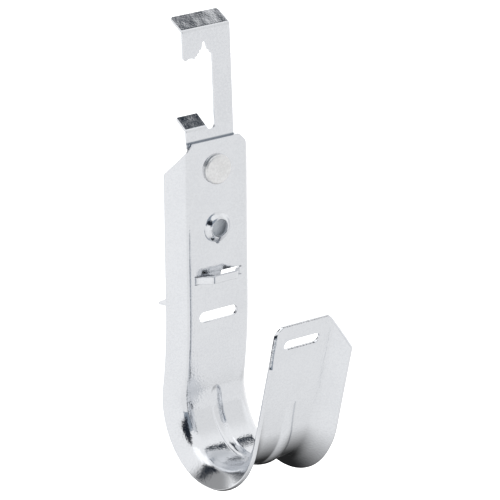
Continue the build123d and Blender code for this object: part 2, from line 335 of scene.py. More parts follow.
# The clip's finish has a line of painted shade along the hook's top edge.
CLIP_ZINC = ZincFinish(
    "satin_zinc_clip", (0.747, 0.762, 0.787), (0.712, 0.727, 0.755), (0.09, 0.16), relief=0.015,
    # Painted light: the ball in which the tail behind the nut's hole is painted paler.
    wave=14.0, shaded_seam=(-1.57, -26.7), dull_lit_spot=(2.1, -21.6, -51.4, 20.3),
)
RIVET_ZINC = ZincFinish(
    "dull_zinc_rivet", (0.86, 0.86, 0.86), (0.79, 0.79, 0.79), (0.32, 0.46), relief=0.012, pits=0.9
)


def graded(*stretches: tuple[float, float, float]) -> np.ndarray:
    """Grid lines over stretches that follow each other.

    Args:
        stretches: (start, end, spacing) of each stretch.

    Returns:
        The places of the lines, in order.
    """
    lines = [np.linspace(a, b, max(2, round((b - a) / step) + 1)) for a, b, step in stretches]
    return np.concatenate([lines[0], *(line[1:] for line in lines[1:])])


def mirrored(half: np.ndarray) -> np.ndarray:
    """Grid lines on both sides of zero from those on one side, which start at zero."""
    return np.concatenate([-half[:0:-1], half])


def arc(start: Point, through: Point, end: Point, steps: int = 16) -> list[Point]:
    """Points on the circular arc through three points, without the first one."""
    a, b, c = (np.array(p) for p in (start, through, end))
    matrix = 2 * np.array([b - a, c - a])
    centre = np.linalg.solve(matrix, [b @ b - a @ a, c @ c - a @ a])
    angles = [math.atan2(*(p - centre)[::-1]) for p in (a, b, c)]
    turn = (angles[2] - angles[0]) % math.tau
    if (angles[1] - angles[0]) % math.tau > turn:
        turn -= math.tau
    radius = np.linalg.norm(a - centre)
    sweep = angles[0] + turn * np.arange(1, steps + 1) / steps
    return [(centre[0] + radius * math.cos(w), centre[1] + radius * math.sin(w)) for w in sweep]


def polygon(corners: Sequence[Point]) -> Outline:
    """Signed distance to a closed polygon, negative inside."""
    start = np.array(corners)
    step = np.roll(start, -1, 0) - start

    def distance(points: np.ndarray) -> np.ndarray:
        """Signed distance of each point to the polygon."""
        away = points[:, None] - start
        along = np.clip((away * step).sum(2) / (step * step).sum(1), 0, 1)
        gap = np.linalg.norm(away - along[..., None] * step, axis=2).min(1)
        rises = (away[..., 1] < 0) != (away[..., 1] - step[:, 1] < 0)
        slope = step[:, 0] / np.where(step[:, 1] == 0, TINY, step[:, 1])
        crossings = (rises & (away[..., 0] < away[..., 1] * slope)).sum(1)
        return np.where(crossings % 2 == 1, -gap, gap)

    return distance


def bar(centre: Point, half: Point, rounding: float = 0.0) -> Outline:
    """Signed distance to a rectangle grown by a rounding: a slot or a disc if it is thin."""

    def distance(points: np.ndarray) -> np.ndarray:
        """Signed distance of each point to the bar."""
        away = np.abs(points - centre) - half
        return np.linalg.norm(np.maximum(away, 0), axis=1) + np.minimum(away.max(1), 0) - rounding

    return distance


def pierced(plate: Outline, *holes: Outline) -> Outline:
    """Signed distance to a plate with holes cut out of it."""

    def distance(points: np.ndarray) -> np.ndarray:
        """Signed distance of each point to what is left of the plate."""
        return np.max([plate(points), *(-hole(points) for hole in holes)], axis=0)

    return distance


@dataclass
class FlatSheet:
    """A flat sheet with rounded edges, cut out of a grid along an outline.

    Its own axes are across, along and through the sheet, from the front face to the back face.
    """

    outline: Outline
    columns: np.ndarray
    rows: np.ndarray
    sheet: float
    rim: float = 0.14
    rim_steps: int = 3
    snap: float = 0.3
    passes: int = 3
    nudge: float = 1e-3
    points: list[np.ndarray] = field(default_factory=list)
    cells: list[list[int]] = field(default_factory=list)

    def level(self, points: np.ndarray) -> np.ndarray:
        """Signed distance to the edge of the flat face, one rim radius inside the outline."""
        return self.outline(points) + self.rim

    def outward(self, points: np.ndarray) -> np.ndarray:
        """Unit direction towards the nearest outline."""
        steps = np.eye(2) * self.nudge
        slope = np.stack([self.level(points + s) - self.level(points - s) for s in steps], 1)
        return slope / np.maximum(np.linalg.norm(slope, axis=1, keepdims=True), TINY)

    def settled(self, points: np.ndarray) -> np.ndarray:
        """Points moved onto the edge of the flat face."""
        for _ in range(self.passes):
            points = points - self.level(points)[:, None] * self.outward(points)
        return points

    def cut(self) -> None:
        """Cut the grid along the edge of the flat face, into points and cells."""
        across, along = np.meshgrid(self.columns, self.rows)
        nodes = np.stack([across.ravel(), along.ravel()], 1)
        height, width = across.shape
        level = self.level(nodes)
        spacing = np.minimum(np.gradient(self.columns), np.gradient(self.rows)[:, None]).ravel()
        near = np.abs(level) < self.snap * spacing
        nodes[near] = self.settled(nodes[near])
        level[near] = 0.0
        self.points = list(nodes)
        crossings: dict[tuple[int, int], int] = {}

        def crossing(a: int, b: int) -> int:
            """Index of the point where the edge of the face crosses a grid line."""
            key = (min(a, b), max(a, b))
            if key not in crossings:
                share = level[a] / (level[a] - level[b])
                crossings[key] = len(self.points)
                self.points.append(nodes[a] + share * (nodes[b] - nodes[a]))
            return crossings[key]

        for row in range(height - 1):
            for column in range(width - 1):
                first = row * width + column
                ring = (first, first + 1, first + width + 1, first + width)
                if not any(level[i] < 0 for i in ring):
                    continue
                cell: list[int] = []
                for a, b in zip(ring, ring[1:] + ring[:1]):
                    if level[a] <= 0:
                        cell.append(a)
                    if level[a] * level[b] < 0:
                        cell.append(crossing(a, b))
                if len(cell) > 2:
                    self.cells.append(cell)
        if crossings:
            self.points[len(nodes):] = self.settled(np.array(self.points[len(nodes):]))

    def mesh(self, name: str) -> bpy.types.Mesh:
        """Build the closed sheet.

        Args:
            name: Name of the mesh.

        Returns:
            The mesh, with its points in metres.
        """
        self.cut()
        used = sorted({i for cell in self.cells for i in cell})
        place = {old: new for new, old in enumerate(used)}
        flat = np.array([self.points[i] for i in used])
        cells = [[place[i] for i in cell] for cell in self.cells]
        sides = dict.fromkeys(side for cell in cells for side in zip(cell, cell[1:] + cell[:1]))
        edges = [(a, b) for a, b in sides if (b, a) not in sides]
        border = sorted({i for edge in edges for i in edge})
        outward = self.outward(flat[border])
        count = len(flat)
        vertices = [np.c_[flat, np.zeros(count)], np.c_[flat, np.full(count, self.sheet)]]
        ring_of = {i: [i] for i in border}
        total = 2 * count
        quarter = np.linspace(0, math.pi / 2, self.rim_steps + 1)[1:]
        profile = [(math.sin(w), self.rim * (1 - math.cos(w))) for w in quarter]
        profile += [(out, self.sheet - depth) for out, depth in reversed(profile)]
        for out, depth in profile:
            moved = flat[border] + out * self.rim * outward
            vertices.append(np.c_[moved, np.full(len(border), depth)])
            for offset, i in enumerate(border):
                ring_of[i].append(total + offset)
            total += len(border)
        for i in border:
            ring_of[i].append(count + i)
        faces = [cell[::-1] for cell in cells]
        faces += [[count + i for i in cell] for cell in cells]
        for a, b in edges:
            for k in range(len(profile) + 1):
                faces.append([ring_of[a][k], ring_of[b][k], ring_of[b][k + 1], ring_of[a][k + 1]])
        made = bpy.data.meshes.new(name)
        made.from_pydata((np.concatenate(vertices) * MM).tolist(), [], faces)
        made.update()
        return made


@dataclass(frozen=True)
class Run:
    """One stretch of a side profile: its length on the front face, and its turn to the back."""

    length: float
    turn: float = 0.0


def bend(radius: float, turn: float) -> Run:
    """A bend of a given radius on the front face; the turn is in degrees, positive to the back."""
    return Run(radius * math.radians(abs(turn)), turn)


def folded(corners: Sequence[Point], radius: float) -> tuple[float, list[Run]]:
    """Runs of a profile that goes through corners with one bend radius.

    Args:
        corners: The profile's corners, before they are rounded.
        radius: Radius of the bends on the front face.

    Returns:
        The first heading in degrees, and the runs.
    """
    legs = np.diff(np.array(corners), axis=0)
    headings = np.degrees(np.arctan2(legs[:, 1], legs[:, 0]))
    turns = (np.diff(headings) + 180) % 360 - 180
    setbacks = radius * np.tan(np.radians(np.abs(turns)) / 2)
    spare = np.linalg.norm(legs, axis=1) - np.r_[0, setbacks] - np.r_[setbacks, 0]
    runs = [Run(spare[0])]
    for turn, length in zip(turns, spare[1:]):
        runs += [bend(radius, turn), Run(length)]
    return float(headings[0]), runs


def traced(start: Point, heading: float, runs: Sequence[Run], step: float = 0.2) -> np.ndarray:
    """Points along a profile.

    Args:
        start: First point.
        heading: First heading, in degrees.
        runs: The stretches in order.
        step: Spacing of the points on the bends.

    Returns:
        The points, in the plane of the profile.
    """
    points = [np.array(start, float)]
    angle = math.radians(heading)
    for run in runs:
        turn = math.radians(run.turn)
        pieces = max(1, math.ceil(run.length / step)) if turn else 1
        origin = points[-1]
        for share in np.arange(1, pieces + 1) / pieces:
            half = turn * share / 2
            chord = run.length * share * (math.sin(half) / half if half else 1.0)
            way = np.array([math.cos(angle + half), math.sin(angle + half)])
            points.append(origin + chord * way)
        angle += turn
    return np.array(points)


def profile_curve(name: str, points: np.ndarray) -> bpy.types.Object:
    """A poly curve through points in metres, in the scene."""
    data = bpy.data.curves.new(name, "CURVE")
    data.dimensions = "3D"
    spline = data.splines.new("POLY")
    spline.points.add(len(points) - 1)
    spline.points.foreach_set("co", np.c_[points, np.ones(len(points))].ravel())
    return placed(name, data)


Given = dict[str, Term]


class FormingTool:
    """Geometry Nodes tree that presses, folds and curls a flat sheet along its side profile."""

    SIZES = (
        "Crown Half", "Blank Half", "Bend Radius", "Bend Angle", "Loop Radius", "Loop Start",
        "Loop End", "Loop Ease", "Flange Radius", "Flange Length", "Rib Start", "Rib End",
        "Rib Radius", "Rib Wall", "Rib Base", "Rib Edge", "Rib Skew", "Rib Fade", "Rib Share",
        "Nut Place", "Nut Base", "Nut Rim", "Nut Rise",
    )
    END_STRETCH = 0.55  # the rib's ends are longer than round ones by this share's inverse
    RIB_FALL = 1.6  # slope of the rib's depth outside its own width
    FADE_SHARE = 0.35  # last share of the rib's run, over which it fades

    def __init__(self) -> None:
        """Build the tree once, for every sheet."""
        self.tree = bpy.data.node_groups.new("sheet_forming", "GeometryNodeTree")
        face = self.tree.interface
        face.new_socket("Geometry", in_out="INPUT", socket_type="NodeSocketGeometry")
        kinds = dict.fromkeys(("Profile", "Branch"), "NodeSocketObject")
        kinds |= {"Finish": "NodeSocketMaterial"} | dict.fromkeys(self.SIZES, "NodeSocketFloat")
        self.ids = {
            name: face.new_socket(name, in_out="INPUT", socket_type=kind).identifier
            for name, kind in kinds.items()
        }
        face.new_socket("Geometry", in_out="OUTPUT", socket_type="NodeSocketGeometry")
        self.wire()

    def wire(self) -> None:
        """Link the tree: press the rib and the nut, bend the flanges, then follow the profile."""
        graph = Graph(self.tree)
        given = graph.terms(graph.node("NodeGroupInput"))
        place = graph.node("GeometryNodeInputPosition").outputs[0]
        across, along, through = graph.split(place)
        pressed = self.press(graph, given, across, along, through)
        width, depth = self.flange(graph, given, across, along, pressed)
        main, side = (
            self.follow(graph, given[name], along, width, depth) for name in ("Profile", "Branch")
        )
        branch = graph.node(
            "GeometryNodeInputNamedAttribute", {"Name": "branch"}, data_type="FLOAT"
        )
        formed = graph.choose(branch.outputs["Attribute"], main, side)
        shape: object = graph.node("GeometryNodeStoreNamedAttribute", {
            "Geometry": given["Geometry"], "Name": "blank", "Value": place,
        }, data_type="FLOAT_VECTOR", domain="POINT").outputs[0]
        for kind, inputs in (
            ("GeometryNodeSetPosition", {"Position": formed}),
            ("GeometryNodeSetShadeSmooth", {}),
            ("GeometryNodeRealizeInstances", {}),
            ("GeometryNodeSetMaterial", {"Material": given["Finish"]}),
        ):
            shape = graph.node(kind, {"Geometry": shape, **inputs}).outputs[0]
        graph.node("NodeGroupOutput", {0: shape})

    @classmethod
    def press(cls, graph: Graph, given: Given, across: Term, along: Term, through: Term) -> Term:
        """Depth in the sheet after the rib is pushed to the back and the nut to the front."""
        start, end, skew = (given[name] for name in ("Rib Start", "Rib End", "Rib Skew"))
        outside = graph.math("MAXIMUM", start - along, along - end)
        beyond = graph.math("MAXIMUM", outside, 0.0) * cls.END_STRETCH
        drift = graph.ramp(along, start, end, skew, 0.0, "LINEAR")
        away = graph.math("SQRT", (across - drift) ** 2.0 + beyond ** 2.0)
        radius = given["Rib Wall"] * through + given["Rib Radius"]
        crest = graph.math("SQRT", graph.math("MAXIMUM", radius ** 2.0 - away ** 2.0, 0.0))
        fall = graph.math("MAXIMUM", away - radius, 0.0) * cls.RIB_FALL
        fading = graph.ramp(drift, 0.0, skew * cls.FADE_SHARE, 1.0, 0.0)
        rib = given["Rib Base"] + crest - fall - fading * given["Rib Fade"]
        pushed = graph.math("SMOOTH_MAX", through, rib, given["Rib Edge"]) - through
        ribbed = pushed * graph.ramp(along, start, end, given["Rib Share"], 1.0, "LINEAR") + through
        reach = graph.math("SQRT", across ** 2.0 + (along - given["Nut Place"]) ** 2.0)
        risen = graph.ramp(reach, given["Nut Rim"], given["Nut Base"], 1.0, 0.0)
        return ribbed - risen * given["Nut Rise"]

    @staticmethod
    def loosened(graph: Graph, given: Given, along: Term) -> tuple[Term, Term]:
        """Bend radius at a place along the strip, wider in the loop, and how far it sets back."""
        risen, fallen = (
            graph.ramp(along, given[name], given[name] + given["Loop Ease"], 0.0, 1.0)
            for name in ("Loop Start", "Loop End")
        )
        wider = (given["Loop Radius"] - given["Bend Radius"]) * (risen - fallen)
        setback = wider * graph.math("TANGENT", given["Bend Angle"] * 0.5)
        return given["Bend Radius"] + wider, setback

    @classmethod
    def flange(cls, graph: Graph, given: Given, across: Term, along: Term,
               depth: Term) -> tuple[Term, Term]:
        """Width and depth of a point after the flanges are bent to the back, with some curl."""
        radius, setback = cls.loosened(graph, given, along)
        curl = given["Flange Radius"]
        crown = given["Crown Half"] - setback
        reach = abs(across)
        turn = graph.math("MAXIMUM", reach - crown, 0.0) / radius
        bent = graph.math("MINIMUM", turn, given["Bend Angle"])
        left_over = given["Blank Half"] - crown - radius * given["Bend Angle"]
        fitted = (given["Flange Length"] - setback) / left_over
        heading = bent + (turn - bent) * radius * fitted / curl
        (sine, end_sine), (cosine, end_cosine) = (
            [graph.math(ratio, angle) for angle in (bent, heading)] for ratio in ("SINE", "COSINE")
        )
        width = radius * sine + graph.math("MINIMUM", reach, crown)
        width = curl * (end_sine - sine) + width - depth * end_sine
        sunk = curl * (cosine - end_cosine) + radius * (1.0 - cosine) + depth * end_cosine
        return width * graph.math("SIGN", across), sunk

    @staticmethod
    def follow(graph: Graph, profile: Term, along: Term, width: Term, depth: Term) -> Term:
        """Place of a point on a profile in the YZ plane: width along X, depth to the back."""
        curve = graph.node("GeometryNodeObjectInfo", {"Object": profile}).outputs["Geometry"]
        sample = graph.terms(graph.node(
            "GeometryNodeSampleCurve", {"Curves": curve, "Length": along}, mode="LENGTH"
        ))
        back = graph.vector("CROSS_PRODUCT", (1.0, 0.0, 0.0), sample["Tangent"])
        sunk = graph.node("ShaderNodeVectorMath", {0: back, "Scale": depth}, operation="SCALE")
        side = graph.node("ShaderNodeCombineXYZ", {"X": width})
        inner = graph.vector("ADD", sample["Position"], sunk.outputs[0])
        return graph.vector("ADD", inner, side.outputs[0])

    def form(self, name: str, flat: bpy.types.Mesh, finish: bpy.types.Material,
             profiles: Sequence[np.ndarray], sizes: dict[str, float]) -> bpy.types.Object:
        """Form a flat sheet.

        Args:
            name: Name of the piece.
            flat: The flat sheet.
            finish: Its material.
            profiles: Points of the side profile, and of the branch for a tongue, in metres.
            sizes: Named sizes of the press and the bends, in metres and radians.

        Returns:
            The formed piece, as a plain mesh.
        """
        blank = placed(f"{name}_blank", flat)
        curves = [profile_curve(f"{name}_profile_{i}", points) for i, points in enumerate(profiles)]
        modifier = blank.modifiers.new("forming", "NODES")
        modifier.node_group = self.tree
        values = {"Profile": curves[0], "Branch": curves[-1], "Finish": finish, **sizes}
        for key, value in values.items():
            modifier[self.ids[key]] = value
        bpy.context.view_layer.update()
        evaluated = blank.evaluated_get(bpy.context.evaluated_depsgraph_get())
        formed = bpy.data.meshes.new_from_object(evaluated)
        blank.modifiers.remove(modifier)
        for helper in (blank, *curves):
            bpy.data.objects.remove(helper)
        formed.name = name
        return placed(name, formed)


FLAT_SIZES = dict.fromkeys(FormingTool.SIZES, 0.0)
FLAT_SIZES |= dict.fromkeys(("Crown Half", "Rib Start", "Rib End", "Nut Place"), FAR * MM)
FLAT_SIZES |= dict.fromkeys((
    "Bend Radius", "Loop Radius", "Loop Ease", "Flange Radius", "Rib Edge", "Rib Skew", "Nut Base",
), MM)


def adopt(piece: bpy.types.Object, node: str) -> None:
    """Let a piece stand for a CAD node and ride on the body."""
    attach(piece, BODY)
    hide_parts(node)
    log.info("%s stands for %s: %d faces", piece.name, node, len(piece.data.polygons))


@dataclass
class FormedHook:
    """The hook: one flanged strip, curled into a loop, with what is pressed and pierced in it."""

    sheet: float = 1.0
    centre_x: float = 2.1
    crown_width: float = 17.2
    bend_radius: float = 1.8
    flange_angle: float = 53.0
    flange_length: float = 5.8
    flange_curl: float = 8.0
    loop_bend: float = 5.0
    loop_bend_start: float = 64.0
    loop_bend_end: float = 118.0
    loop_bend_ease: float = 14.0
    end_width: float = 15.2
    corner_angle: float = 45.5
    loop_back_radius: float = 13.4
    loop_front_radius: float = 19.6
    loop_bottom: float = 86.6
    loop_setback: float = 2.3
    setback_radius: float = 135.0
    lip_lean: float = 15.4
    lip_length: float = 34.5
    rib_width: float = 3.4
    rib_depth: float = 1.25
    rib_share: float = 0.3
    rib_wall: float = 0.8
    rib_start: float = 3.0
    rib_lip_run: float = 8.2
    rib_edge: float = 0.35
    rib_skew: float = 0.4
    rib_fade: float = 0.7
    rivet_drop: float = 8.2
    rivet_hole: float = 2.45
    nut_drop: float = 24.6
    nut_base: float = 4.4
    nut_hole: float = 2.5
    nut_rise: float = 1.25
    nut_slit: float = 0.5
    nut_slit_end: float = 4.1
    nut_relief: float = 0.55
    bridge_drop: float = 37.9
    bridge_margin: float = 1.6
    bridge_ramp: float = 3.1
    bridge_rise: float = 3.7
    bridge_lift: float = 0.6
    bridge_gap: float = 0.35
    bridge_slit: float = 0.12
    bridge_height: float = 2.0
    bridge_bend: float = 1.1
    bridge_step: float = 0.05
    slot_drop: float = 49.4
    lip_slot_drop: float = 6.1
    slot_length: float = 12.1
    lip_slot_cut: float = 0.8
    slot_height: float = 3.0

    def __post_init__(self) -> None:
        """Work out the lengths along the strip and across its flat blank."""
        self.turn = math.radians(self.flange_angle)
        self.crown = self.crown_width / 2
        self.half = self.crown + self.bend_radius * self.turn + self.flange_length
        self.bend_turn = self.turn - math.radians(self.flange_curl) / 2
        self.bend_end = self.crown + self.bend_radius * self.bend_turn
        reach = self.setback_radius + self.loop_back_radius
        swing = math.acos(1 - self.loop_setback / reach)
        straight = self.loop_bottom - self.loop_back_radius - reach * math.sin(swing)
        degrees = math.degrees(swing)
        self.runs = [
            Run(straight),
            bend(self.setback_radius, degrees),
            bend(self.loop_back_radius, -degrees - 90),
            bend(self.loop_front_radius, self.lip_lean - 90),
            Run(self.lip_length),
        ]
        self.length = sum(run.length for run in self.runs)
        self.lip_root = self.length - self.lip_length
        self.lip_slot = self.length - self.lip_slot_drop
        rearmost = straight + reach * swing
        self.rib_from = rearmost + self.loop_back_radius * math.radians(self.rib_start)
        self.rib_to = self.lip_root + self.rib_lip_run
        self.bridge_out = math.hypot(self.bridge_rise, self.bridge_lift)
        self.bridge_foot = self.bridge_drop + self.bridge_lift

    def outline(self) -> Outline:
        """Outline of the flat blank, with its slanted corners and its holes."""
        end = self.end_width / 2
        corner = (self.half - end) * math.tan(math.radians(self.corner_angle))
        lip_corner = self.length - corner
        plate = polygon([
            (-end, 0), (end, 0), (self.half, corner), (self.half, lip_corner),
            (end, self.length), (-end, self.length), (-self.half, lip_corner), (-self.half, corner),
        ])
        slot_radius = self.slot_height / 2
        slot_reach = self.slot_length / 2 - slot_radius
        slit_end = self.nut_drop + self.nut_slit_end
        slit_middle = (self.nut_drop + slit_end) / 2
        lip_cut = self.lip_slot_cut / 2
        root = self.bridge_root()
        window_foot = self.bridge_foot - self.bridge_height / 2
        slit_top = self.bridge_foot + self.bridge_height / 2
        holes = [
            bar((0, self.slot_drop), (slot_reach, 0), slot_radius),
            bar((-lip_cut, self.lip_slot), (slot_reach - lip_cut, 0), slot_radius),
            bar((0, self.rivet_drop), (0, 0), self.rivet_hole),
            bar((0, self.nut_drop), (0, 0), self.nut_hole),
            bar((0, slit_end), (0, 0), self.nut_relief),
            bar((0, slit_middle), (self.nut_slit / 2, self.nut_slit_end / 2)),
            bar((0, window_foot - self.bridge_gap / 2), (root, self.bridge_gap / 2)),
            bar((0, slit_top + self.bridge_slit / 2), (root, self.bridge_slit / 2)),
        ]
        return pierced(plate, *holes)

    def bridge_profile(self) -> tuple[float, list[Run]]:
        """Heading and runs of the strap bridge's front face, from end to end of its cuts."""
        half = self.crown - self.bridge_margin
        flat = half - self.bridge_ramp
        right = [(flat, -self.bridge_out), (half, 0), (self.crown, 0)]
        corners = [(-x, y) for x, y in reversed(right)] + right
        heading, runs = folded(corners, self.bridge_bend)
        return heading, runs[1:-1]

    def bridge_root(self) -> float:
        """Half length of the bridge's cuts: they end where its first bend starts."""
        slope = math.atan2(self.bridge_out, self.bridge_ramp)
        return self.crown - self.bridge_margin + self.bridge_bend * math.tan(slope / 2)

    def push_bridge(self, flat: bpy.types.Mesh) -> None:
        """Push the strip between the two cuts of a flat blank forward and up, as a bridge."""
        heading, runs = self.bridge_profile()
        root = self.bridge_root()
        line = traced((-root, 0), heading, runs, self.bridge_step)
        steps = np.linalg.norm(np.diff(line, axis=0), axis=1)
        travel = np.r_[0, np.cumsum(steps)]
        tangent = np.gradient(line, travel, axis=0)
        tangent /= np.linalg.norm(tangent, axis=1, keepdims=True)
        tilt = math.atan2(self.bridge_lift, self.bridge_rise)
        reach = self.bridge_height / 2 + CLOSE
        for vertex in flat.vertices:
            across, along, through = (value / MM for value in vertex.co)
            if abs(across) >= root or abs(along - self.bridge_foot) > reach:
                continue
            place = (across + root) / (2 * root) * travel[-1]
            x, y = (np.interp(place, travel, line[:, i]) for i in (0, 1))
            dx, dy = (np.interp(place, travel, tangent[:, i]) for i in (0, 1))
            vertex.co.x = (x - dy * through) * MM
            vertex.co.y = (along + y * math.sin(tilt)) * MM
            vertex.co.z = (y * math.cos(tilt) + dx * through) * MM

    def grid(self) -> tuple[np.ndarray, np.ndarray]:
        """Columns and rows of the blank's grid, close where it is bent, pressed or pierced."""
        fine, medium, coarse = 0.22, 0.4, 0.6
        bridge, fold, slot = 0.1, 0.2, 0.3
        rib, rib_end = 0.5, 0.25
        margin = 1.0
        edge = self.half - margin
        columns = mirrored(graded(
            (0, self.nut_base, fine), (self.nut_base, self.crown, slot),
            (self.crown, self.bend_end, fold), (self.bend_end, edge, coarse),
            (edge, self.half + margin, medium),
        ))
        nut_top = self.nut_drop - self.nut_base
        nut_bottom = self.nut_drop + self.nut_base + self.nut_relief
        bridge_top = self.bridge_drop - self.bridge_height
        bridge_bottom = self.bridge_foot + self.bridge_height
        slot_top = self.slot_drop - self.slot_height
        slot_bottom = self.slot_drop + self.slot_height
        stops = (
            (nut_top, medium), (nut_bottom, fine), (bridge_top, medium), (bridge_bottom, bridge),
            (slot_top, medium), (slot_bottom, slot), (self.rib_from - self.rib_width, coarse),
            (self.rib_from, rib_end), (self.rib_to, rib), (self.rib_to + self.rib_width, rib_end),
            (self.lip_slot - self.slot_height, coarse), (self.lip_slot + self.slot_height, slot),
            (self.length + margin, medium),
        )
        starts = (-margin, *(place for place, _ in stops))
        return columns, graded(*((start, *stop) for start, stop in zip(starts, stops)))

    def build(self, tool: FormingTool, finish: bpy.types.Material) -> bpy.types.Object:
        """Cut the blank, push its bridge and form it.

        Args:
            tool: The forming tree.
            finish: The hook's material.

        Returns:
            The formed hook.
        """
        columns, rows = self.grid()
        flat = FlatSheet(self.outline(), columns, rows, self.sheet).mesh("hook_blank")
        self.push_bridge(flat)
        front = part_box("batwing_clip")[0].y / MM - self.sheet
        line = traced((front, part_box("j_hook")[1].z / MM), -90, self.runs)
        profile = np.c_[np.full(len(line), self.centre_x), line] * MM
        radius = (self.rib_width**2 / 4 + self.rib_depth**2) / (2 * self.rib_depth)
        flange = self.half - self.bend_end
        lengths = {
            "Crown Half": self.crown, "Blank Half": self.half, "Bend Radius": self.bend_radius,
            "Loop Radius": self.loop_bend, "Loop Start": self.loop_bend_start,
            "Loop End": self.loop_bend_end, "Loop Ease": self.loop_bend_ease,
            "Flange Radius": flange / math.radians(self.flange_curl), "Flange Length": flange,
            "Rib Start": self.rib_from, "Rib End": self.rib_to, "Rib Radius": radius,
            "Rib Base": self.rib_depth - radius, "Rib Edge": self.rib_edge,
            "Rib Skew": self.rib_skew, "Rib Fade": self.rib_fade, "Nut Place": self.nut_drop,
            "Nut Base": self.nut_base, "Nut Rim": self.nut_hole, "Nut Rise": self.nut_rise,
        }
        shares = {"Rib Wall": self.rib_wall, "Rib Share": self.rib_share}
        sizes = FLAT_SIZES | {name: length * MM for name, length in lengths.items()}
        sizes |= shares | {"Bend Angle": self.bend_turn}
        return tool.form("formed_hook", flat, finish, [profile], sizes)

    def dress(self, tool: FormingTool) -> None:
        """Build the hook in its finish and let it stand for its CAD node."""
        adopt(self.build(tool, HOOK_ZINC.material()), "j_hook")


